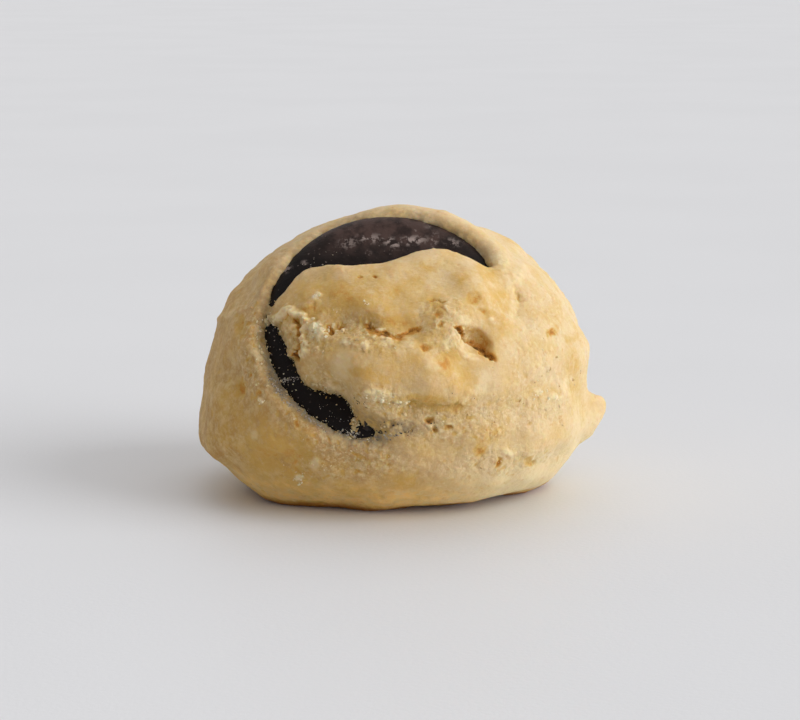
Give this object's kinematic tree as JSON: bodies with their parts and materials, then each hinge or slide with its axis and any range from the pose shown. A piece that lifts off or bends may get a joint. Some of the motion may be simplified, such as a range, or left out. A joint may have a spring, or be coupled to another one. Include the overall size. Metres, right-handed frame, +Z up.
{
  "type": "chocolate chip cookie dough ball",
  "caption": "Scooped ball of pale, crumbly cookie dough, flat underneath, with a round dark chocolate disc set in its upper front and a tongue of dough folded over most of it.",
  "frame": {"origin": "on the flat base that the ball rests on, at the middle of the ball's footprint", "axes": "+Z up, -Y towards the side that shows the chocolate, +X to the right of that side, where the torn nub is"},
  "size_m": [0.0408, 0.0394, 0.0287],
  "materials": {
    "dough": "matt, crumbly and slightly greasy raw cookie dough",
    "chocolate": "satin dark chocolate with a faint pale bloom"
  },
  "bodies": {
    "root": {"dough": "dough", "chocolate_disc": "chocolate"}
  },
  "joints": []
}
